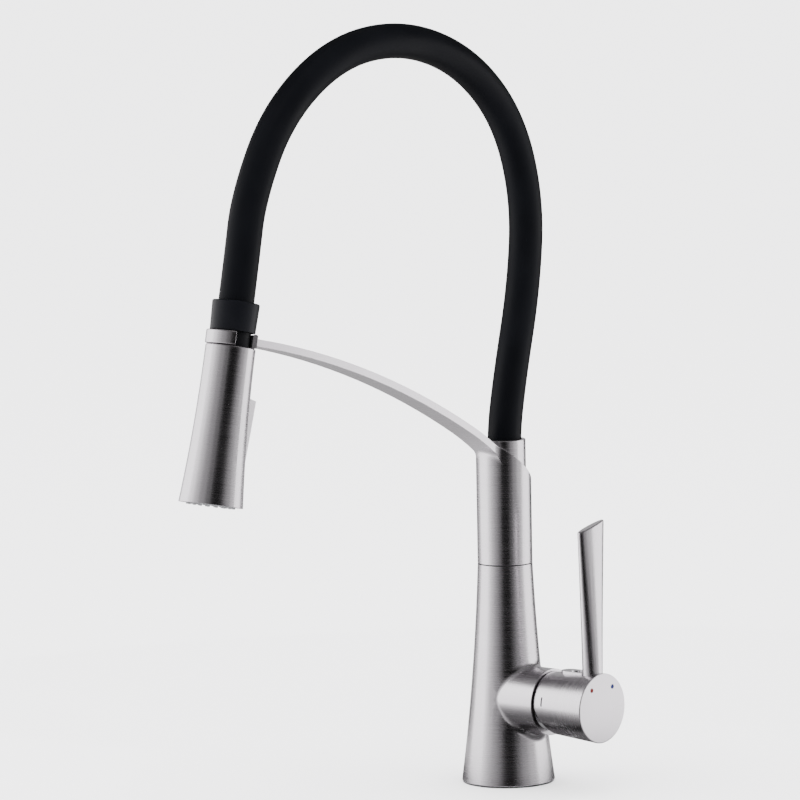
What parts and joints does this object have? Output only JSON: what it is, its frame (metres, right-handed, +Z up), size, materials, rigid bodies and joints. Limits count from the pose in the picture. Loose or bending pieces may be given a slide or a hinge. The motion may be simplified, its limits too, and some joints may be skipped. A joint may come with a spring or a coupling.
{
  "type": "pull-down kitchen mixer tap",
  "caption": "Single-lever kitchen mixer tap with a swivelling spout, an arched rubber-sleeved hose and a spray head docked in an open ring at the end of a curved arm.",
  "frame": {"origin": "centre of the base's underside, on the deck", "axes": "+Z up, spout and spray head towards -Y, lever housing towards +X; spout at its rest position over the sink"},
  "size_m": [0.1063, 0.3089, 0.4731],
  "materials": {
    "brushed_nickel": "fine brushed",
    "bright_steel": "machined",
    "chrome": "polished",
    "brass": "machined",
    "hose_silicone": "matte",
    "collar_black": "satin",
    "black_rubber": "matte",
    "nozzle_rubber": "matte",
    "black_nylon": "matte",
    "grey_plastic": "satin",
    "white_plastic": "satin",
    "core_hose": "satin",
    "ceramic": "ground ceramic",
    "spring_steel": "bright",
    "red_enamel": "gloss",
    "blue_enamel": "gloss"
  },
  "bodies": {
    "base": {"base_gasket": "black_rubber", "base_body": "brushed_nickel", "mounting_insert": "brass", "waterway_manifold": "brass", "transfer_tube": "brass", "swivel_bush_lower": "white_plastic", "swivel_bush_upper": "white_plastic", "swivel_washer": "black_nylon", "cartridge_seals": "black_rubber", "cartridge_base": "white_plastic", "fixed_disc": "ceramic", "cartridge_shell": "white_plastic", "cartridge_nut": "chrome"},
    "spout": {"spout_body": "brushed_nickel", "swivel_spigot": "brass", "swivel_o_rings": "black_rubber", "swivel_circlip": "spring_steel", "outlet_tube": "brushed_nickel", "hose_ferrule": "brass", "hose_sheath": "hose_silicone", "support_coil": "spring_steel", "inner_hose": "core_hose", "dock_ring": "brushed_nickel", "dock_liner": "black_nylon"},
    "hose_end": {"hose_collar": "collar_black", "spray_nipple": "brass", "dock_sleeve": "collar_black", "nipple_o_ring": "black_rubber"},
    "spray_head": {"head_shell": "brushed_nickel", "swivel_nut": "grey_plastic", "head_core": "grey_plastic", "check_valve_seat": "white_plastic", "check_poppet": "black_rubber", "check_spring": "spring_steel", "button_pin": "spring_steel", "spray_face": "grey_plastic", "spray_nozzles": "nozzle_rubber", "aerator_insert": "grey_plastic", "aerator_screen": "spring_steel", "face_seal": "black_rubber"},
    "button": {"rocker_button": "brushed_nickel"},
    "diverter": {"diverter_spool": "white_plastic"},
    "mixer_rotor": {"cartridge_rotor": "grey_plastic", "stem_pin": "spring_steel"},
    "disc": {"moving_disc": "ceramic", "disc_carrier": "white_plastic"},
    "handle": {"cartridge_stem": "brass", "handle_hub": "brass", "handle_cap": "brushed_nickel", "handle_lever": "brushed_nickel", "lever_stud": "bright_steel", "handle_screw": "chrome", "hot_dot": "red_enamel", "cold_dot": "blue_enamel", "index_mark": "black_nylon"}
  },
  "joints": [
    {"name": "spout_swivel", "type": "hinge", "parent": "base", "child": "spout", "pos_m": [0, 0, 0.1], "axis": [0, 0, 1], "continuous": true},
    {"name": "spray_undock", "type": "slide", "parent": "spout", "child": "hose_end", "axis": [1, 0, 0], "range_m": [0, 0.09], "deforming": ["dock_sleeve", "hose_sheath", "support_coil", "inner_hose"]},
    {"name": "spray_head_turn", "type": "hinge", "parent": "hose_end", "child": "spray_head", "pos_m": [0, -0.2362, 0.2903], "axis": [0, 0.2079, 0.9781], "continuous": true},
    {"name": "button_rock", "type": "hinge", "parent": "spray_head", "child": "button", "pos_m": [0, -0.23669, 0.24184], "axis": [1, 0, 0], "range_deg": [0, 8]},
    {"name": "diverter_slide", "type": "slide", "parent": "spray_head", "child": "diverter", "axis": [0, 0.2079, 0.9781], "range_m": [0, 0.0016]},
    {"name": "handle_turn", "type": "hinge", "parent": "base", "child": "mixer_rotor", "pos_m": [0, 0, 0.0531], "axis": [1, 0, 0], "range_deg": [-45, 45]},
    {"name": "handle_lift", "type": "hinge", "parent": "mixer_rotor", "child": "handle", "pos_m": [0.029, 0, 0.0531], "axis": [0, 1, 0], "range_deg": [0, 20]},
    {"name": "disc_shift", "type": "slide", "parent": "mixer_rotor", "child": "disc", "axis": [0, 0, 1], "range_m": [0, 0.0042]}
  ],
  "couplings": [
    {"joint": "diverter_slide", "follows": "button_rock", "m_per_rad": 0.0105},
    {"joint": "disc_shift", "follows": "handle_lift", "m_per_rad": 0.0114}
  ]
}
